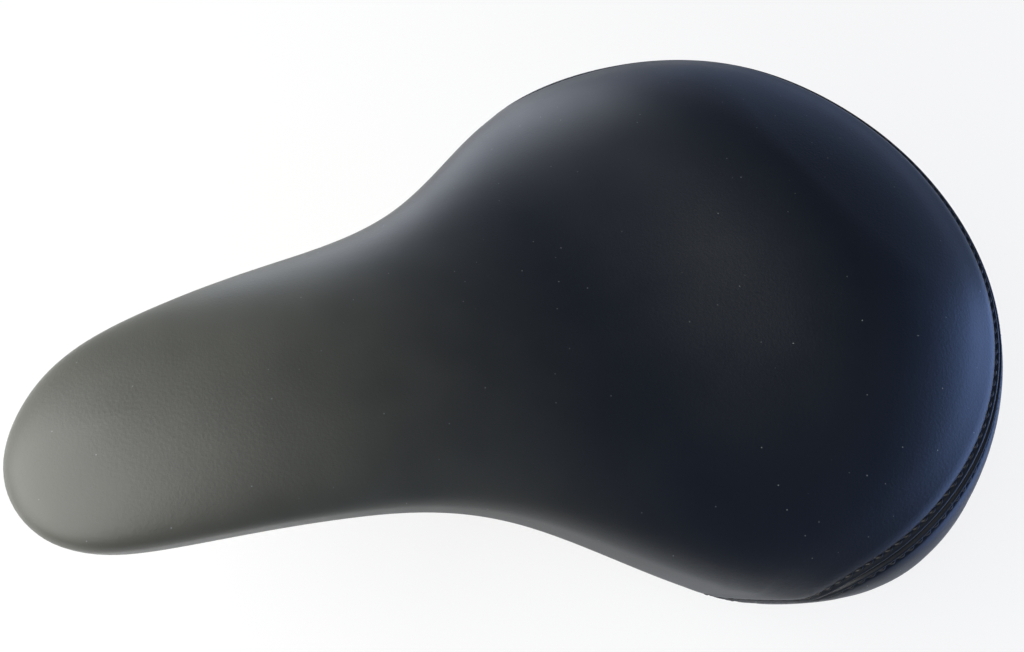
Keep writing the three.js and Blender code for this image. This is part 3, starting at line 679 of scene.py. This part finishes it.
def round_bar(name, points, radius, sides):
    ahead = np.gradient(points, axis=0)
    ahead /= np.linalg.norm(ahead, axis=1)[:, None]
    aside = np.cross([0, 0, 1], ahead)
    aside /= np.linalg.norm(aside, axis=1)[:, None]
    above = np.cross(ahead, aside)
    angle = np.linspace(0, 2 * np.pi, sides, endpoint=False)[None, :, None]
    rings = points[:, None] + radius * (aside[:, None] * np.cos(angle) + above[:, None] * np.sin(angle))
    last = (len(points) - 1) * sides
    ends = [tuple(range(sides))[::-1], tuple(last + j for j in range(sides))]
    mesh = bpy.data.meshes.new(name)
    mesh.from_pydata((rings.reshape(-1, 3) / 1000).tolist(), [], tube_faces(len(points), sides) + ends)
    mend(mesh, outward=True)
    mesh.shade_smooth()
    mesh.set_sharp_from_angle(angle=math.radians(50))
    return shown(name, mesh)


rail_bars = []
for side, word in ((1, "left"), (-1, "right")):
    path = bent_path(rail_corners, BEND_REACH, BEND_STEPS) * np.array([1, side, 1])
    rail_bars.append(round_bar("steel_rail_" + word, path, RAIL_RADIUS, RAIL_SIDES))
print("rails:", len(rail_bars))

# %% [markdown]
# ## Base and caps
# The base and the rail caps have their right shape in the CAD part, with every rib, slot and
# groove, so a merged copy of each is dressed. Faces that meet at a shallow angle are shaded as one
# curve, and the real corners stay sharp.


# %% Copies of the moulded parts
def moulded_copy(name, node, sharp):
    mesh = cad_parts[node].data.copy()
    mesh.name = name
    mend(mesh, MERGE)
    mesh.shade_smooth()
    mesh.set_sharp_from_angle(angle=math.radians(sharp))
    return shown(name, mesh)


base_moulding = moulded_copy("base_moulding", "base_shell", 32)
cap_names = ["nose_rail_cap", "tail_left_rail_cap", "tail_right_rail_cap"]
caps = [moulded_copy(node + "_moulding", node, 30) for node in cap_names]
print("moulded parts:", 1 + len(caps))

# %% [markdown]
# ## Fasteners
# Six screws hold the caps, and twenty-four staples hold the hem to the base's flange. They repeat,
# so one screw and one staple are modelled, and Geometry Nodes set a copy at every place. The
# places and the ways they face are read from the CAD nodes that they replace.


# %% One screw: a pan head with a cross recess on a plain shank
def small_shape(name, points, faces):
    """A fastener from points in millimetres. It isn't shown itself: the tree sets out its copies."""
    mesh = bpy.data.meshes.new(name)
    mesh.from_pydata([[c / 1000 for c in p] for p in points], [], faces)
    mend(mesh, MERGE / 10, outward=True)
    mesh.shade_smooth()
    mesh.set_sharp_from_angle(angle=math.radians(42))
    return bpy.data.objects.new(name, mesh)


HEAD_RADIUS, HEAD_HEIGHT, HEAD_ROUND = 4.0, 2.6, 1.0
SHANK_RADIUS, SHANK_LENGTH, POINT_LENGTH = 2.1, 16.0, 2.0
RECESS_ARM, RECESS_WIDTH, RECESS_DEPTH = 2.1, 0.95, 1.3
CENTRE = 0.0001  # stands for a radius of nothing
screw_sides, face_rings = 48, 14

face_radius = HEAD_RADIUS - HEAD_ROUND
steps = np.arange(face_rings + 1) / face_rings
profile = [(CENTRE + face_radius * t, -HEAD_HEIGHT + 0.12 * t**2) for t in steps]
profile += [
    (face_radius + HEAD_ROUND * math.sin(a), -HEAD_HEIGHT + 0.12 + HEAD_ROUND * (1 - math.cos(a)))
    for a in np.linspace(0.2, math.pi / 2, 7)
]
profile += [(HEAD_RADIUS, 0), (SHANK_RADIUS, 0), (SHANK_RADIUS, SHANK_LENGTH - POINT_LENGTH), (CENTRE, SHANK_LENGTH)]
points = []
for radius, height in profile:
    for j in range(screw_sides):
        x, y = (radius * f(2 * math.pi * j / screw_sides) for f in (math.cos, math.sin))
        in_cross = min(abs(x), abs(y)) < RECESS_WIDTH / 2 and max(abs(x), abs(y)) < RECESS_ARM
        sunk = RECESS_DEPTH * (1 - 0.35 * radius / RECESS_ARM) if in_cross and height < -HEAD_HEIGHT / 2 else 0
        points.append((x, y, height + sunk))
screw_shape = small_shape("pan_head_screw", points, tube_faces(len(profile), screw_sides))

# %% One staple: flat wire with rounded corners
WIRE, BAND, CROWN_WIDTH, LEG = 0.7, 1.2, 9.0, 3.9
WIRE_ROUND, BEND = 0.15, 0.7
leg_place = (CROWN_WIDTH - WIRE) / 2
path = [(-leg_place, LEG)]
path += [
    (-leg_place + BEND - BEND * math.cos(a), BEND - BEND * math.sin(a) + WIRE / 2)
    for a in np.linspace(0, math.pi / 2, 5)
]
path += [(-x, z) for x, z in path[::-1]]
section = []
for cx, cy, start in ((1, 1, 0), (-1, 1, 1), (-1, -1, 2), (1, -1, 3)):
    for turn in (0.15, 0.85):
        a = (start + turn) * math.pi / 2
        across, along_band = cx * (WIRE / 2 - WIRE_ROUND), cy * (BAND / 2 - WIRE_ROUND)
        section.append((across + WIRE_ROUND * math.cos(a), along_band + WIRE_ROUND * math.sin(a)))
points = []
for i, (x, z) in enumerate(path):
    before, after = path[max(i - 1, 0)], path[min(i + 1, len(path) - 1)]
    run = np.array([after[0] - before[0], after[1] - before[1]])
    run /= np.linalg.norm(run)
    for u, v in section:
        points.append((x - run[1] * u, v, z + run[0] * u))
count = len(section)
ends = [tuple(range(count)), tuple((len(path) - 1) * count + j for j in range(count))]
staple_shape = small_shape("flat_wire_staple", points, tube_faces(len(path), count) + ends)
print("screw faces %d, staple faces %d" % (len(screw_shape.data.polygons), len(staple_shape.data.polygons)))


# %% Places for them, read from the CAD nodes
def spots_object(name, places, across, upward):
    mesh = bpy.data.meshes.new(name)
    mesh.from_pydata([list(p) for p in places], [], [])
    for key, ways in (("across", across), ("upward", upward)):
        mesh.attributes.new(key, "FLOAT_VECTOR", "POINT").data.foreach_set("vector", np.array(ways).ravel())
    return shown(name, mesh)


def corners_of(node):
    return np.array([v.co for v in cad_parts[node].data.vertices])


screw_names = [stem + "_cap_screw_%d" % i for stem in ("nose", "tail_left", "tail_right") for i in (1, 2)]
staple_names = sorted(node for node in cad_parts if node.startswith("staple_"))
screw_places, staple_places, staple_across, staple_up = [], [], [], []
for node in screw_names:
    low, high = corners_of(node).min(0), corners_of(node).max(0)
    screw_places.append(((low[0] + high[0]) / 2, (low[1] + high[1]) / 2, low[2] + HEAD_HEIGHT / 1000))
for node in staple_names:
    corners = corners_of(node)
    middle = (corners.max(0) + corners.min(0)) / 2
    ways = np.linalg.svd(corners - corners.mean(0), full_matrices=False)[2]  # longest first
    across, up = ways[0], ways[1] * np.sign(ways[1][2])
    aside = np.cross(up, across)
    run = (corners - middle) @ np.array([across, up, aside]).T
    shift = (run.max(0) + run.min(0)) / 2
    shift[1] = run[:, 1].min()
    staple_places.append(middle + across * shift[0] + up * shift[1] + aside * shift[2])
    staple_across.append(across)
    staple_up.append(up)
screw_spots = spots_object("screw_spots", screw_places, [(1, 0, 0)] * 6, [(0, 0, 1)] * 6)
staple_spots = spots_object("staple_spots", staple_places, staple_across, staple_up)


# %% The tree that sets them out
def fastener_tree():
    tree = bpy.data.node_groups.new("Set out fasteners", "GeometryNodeTree")
    face = tree.interface
    face.new_socket("Places", in_out="INPUT", socket_type="NodeSocketGeometry")
    face.new_socket("Fastener", in_out="INPUT", socket_type="NodeSocketObject")
    face.new_socket("Size", in_out="INPUT", socket_type="NodeSocketFloat").default_value = 1.0
    face.new_socket("Material", in_out="INPUT", socket_type="NodeSocketMaterial")
    face.new_socket("Fasteners", in_out="OUTPUT", socket_type="NodeSocketGeometry")
    given = add_node(tree, "NodeGroupInput").outputs
    spots = add_node(tree, "GeometryNodeMeshToPoints", {"Mesh": given["Places"]})
    shape = add_node(tree, "GeometryNodeObjectInfo", {"Object": given["Fastener"]})
    across = add_node(tree, "GeometryNodeInputNamedAttribute", {"Name": "across"}, data_type="FLOAT_VECTOR")
    upward = add_node(tree, "GeometryNodeInputNamedAttribute", {"Name": "upward"}, data_type="FLOAT_VECTOR")
    level = add_node(tree, "FunctionNodeAlignRotationToVector", {"Vector": across.outputs[0]}, axis="X")
    turned = add_node(
        tree,
        "FunctionNodeAlignRotationToVector",
        {"Rotation": level.outputs[0], "Vector": upward.outputs[0]},
        axis="Z",
        pivot_axis="X",
    )
    laid = add_node(
        tree,
        "GeometryNodeInstanceOnPoints",
        {
            "Points": spots.outputs[0],
            "Instance": shape.outputs["Geometry"],
            "Rotation": turned.outputs[0],
            "Scale": given["Size"],
        },
    )
    real = add_node(tree, "GeometryNodeRealizeInstances", {"Geometry": laid.outputs[0]})
    done = add_node(tree, "GeometryNodeSetMaterial", {"Geometry": real.outputs[0], "Material": given["Material"]})
    add_node(tree, "NodeGroupOutput", {"Fasteners": done.outputs[0]})
    return tree


set_out = fastener_tree()
screws = grown(screw_spots, set_out, "cap_screws", Fastener=screw_shape, Material=zinc_steel)
staples = grown(staple_spots, set_out, "hem_staples", Fastener=staple_shape, Material=zinc_steel)

# %% Ride, replace and dress
for piece, nodes, material, slot in (
    [(top_panel, ["top_cover"], leathercloth, "cover"), (tail_band, ["rear_band"], leathercloth, "cover")]
    + [(foam_core, ["foam_pad"], foam_grey, "foam"), (base_moulding, ["base_shell"], moulded_black, "plastic")]
    + [(bar, ["rail_" + word], plated_steel, "rail_steel") for bar, word in zip(rail_bars, ("left", "right"))]
    + [(piece, [node], moulded_black, "plastic") for piece, node in zip(caps, cap_names)]
    + [(screws, screw_names, zinc_steel, "zinc"), (staples, staple_names, zinc_steel, "zinc")]
):
    piece.data.materials.clear()
    piece.data.materials.append(material)
    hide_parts(*nodes)
    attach(piece, "root")
for row in rows:
    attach(row, "root")

# %% [markdown]
# ## Floor, light and camera
# The saddle stands on a plain white sheet, which keeps its shadow and fades into the white
# background. Seen from below, the sheet is clear, so that the underside shows.
#
# The world is a studio: bright round the horizon and dark overhead. So the dome's edges, which
# mirror the horizon, are light, and its middle stays dark. It is a little blue at the tail's end
# and dimmer on the saddle's left. A large soft lamp beyond the nose lights the nose, where a grey
# haze of light is also painted on the cover, a small one on the right draws the far edge of the
# waist, and a blue one low behind the tail draws the tail's edge and the band.

# %% Floor
FLOOR_HALF, FLOOR_LEVEL = 3.0, -0.0002
floor_mesh = bpy.data.meshes.new("floor")
floor_corners = [(x * FLOOR_HALF, y * FLOOR_HALF, FLOOR_LEVEL) for x, y in ((-1, -1), (1, -1), (1, 1), (-1, 1))]
floor_mesh.from_pydata(floor_corners, [], [(0, 1, 2, 3)])
floor = shown("floor", floor_mesh)
paper, tree, shader = new_material("white paper", "#f4f4f2", 0.9)
floor_mesh.materials.append(paper)
output = tree.nodes["Material Output"]
white = add_node(tree, "ShaderNodeEmission", {"Color": (1, 1, 1, 1), "Strength": 1.0})
path = add_node(tree, "ShaderNodeLightPath")
place = add_node(tree, "ShaderNodeTexCoord").outputs["Object"]
away = add_node(tree, "ShaderNodeVectorMath", {0: place}, operation="LENGTH").outputs["Value"]
seen = product(tree, path.outputs["Is Camera Ray"], ranged(tree, away, (0.3, 1.1), (0.82, 1)))
sheet = add_node(tree, "ShaderNodeMixShader", {0: seen, 1: shader.outputs[0], 2: white.outputs[0]})
back = add_node(tree, "ShaderNodeNewGeometry").outputs["Backfacing"]
clear = add_node(tree, "ShaderNodeBsdfTransparent")
mixed = add_node(tree, "ShaderNodeMixShader", {0: back, 1: sheet.outputs[0], 2: clear.outputs[0]})
tree.links.new(mixed.outputs[0], output.inputs["Surface"])

# %% World
world = bpy.data.worlds.new("studio")
scene.world = world
world.use_nodes = True
tree = world.node_tree
tree.nodes.clear()
path = add_node(tree, "ShaderNodeLightPath").outputs
place = add_node(tree, "ShaderNodeTexCoord").outputs["Generated"]
way = add_node(tree, "ShaderNodeSeparateXYZ", {0: place}).outputs
horizon = ranged(tree, way["Z"], (0.05, 0.5), (0.95, 0.02), interpolation_type="SMOOTHSTEP")
strength = product(tree, horizon, ranged(tree, way["Y"], (0.1, 0.8), (1, 0.35)))
toward_nose = ranged(tree, way["X"], (-0.8, 0.5), (0, 1))
tint = blended(tree, toward_nose, hex_colour("#a9c6ff"), hex_colour("#fffdf4"))
soft = add_node(tree, "ShaderNodeBackground", {"Color": tint, "Strength": strength})
plain = add_node(tree, "ShaderNodeBackground", {"Color": (1, 1, 1, 1), "Strength": 1.0})
direct = {0: path["Is Camera Ray"], 1: path["Is Transmission Ray"]}
seen = add_node(tree, "ShaderNodeMath", direct, operation="MAXIMUM")
mixed = add_node(tree, "ShaderNodeMixShader", {0: seen.outputs[0], 1: soft.outputs[0], 2: plain.outputs[0]})
add_node(tree, "ShaderNodeOutputWorld", {"Surface": mixed.outputs[0]})


# %% Lamps
def soft_lamp(name, place, aim, size, power, colour):
    lamp = bpy.data.lights.new(name, "AREA")
    lamp.shape = "DISK"
    lamp.size = size
    lamp.energy = power
    lamp.color = hex_colour(colour)[:3]
    holder = shown(name, lamp)
    holder.location = place
    holder.rotation_euler = (Vector(aim) - Vector(place)).to_track_quat("-Z", "Y").to_euler()


soft_lamp("nose lamp", (0.64, -0.1, 0.52), (0.1, 0, 0.05), 1.0, 12.8, "#fafaf6")
soft_lamp("right lamp", (-0.02, -0.8, 0.2), (0.02, -0.03, 0.05), 0.5, 1.9, "#eef4ff")
soft_lamp("tail lamp", (-0.62, 0.42, 0.11), (-0.1, 0.03, 0.03), 0.7, 3.6, "#93b6ff")

# %% [markdown]
# The camera was fitted to the photograph together with the form. The saddle filled its frame from
# only 0.2 m away, so it is a wide one, and the shifts stand for a crop that isn't centred.

# %% Camera
camera = shown("camera", bpy.data.cameras.new("camera"))
camera.location = (0.0619, 0.07726, 0.20914)
camera.rotation_euler = Euler([math.radians(a) for a in (33.893, -3.033, 156.882)], "XYZ")
camera.data.lens = 21.08
camera.data.sensor_width = 36
camera.data.shift_x = 0.0507
camera.data.shift_y = -0.0352
camera.data.clip_start = 0.01
scene.camera = camera
scene.view_settings.view_transform = "Standard"
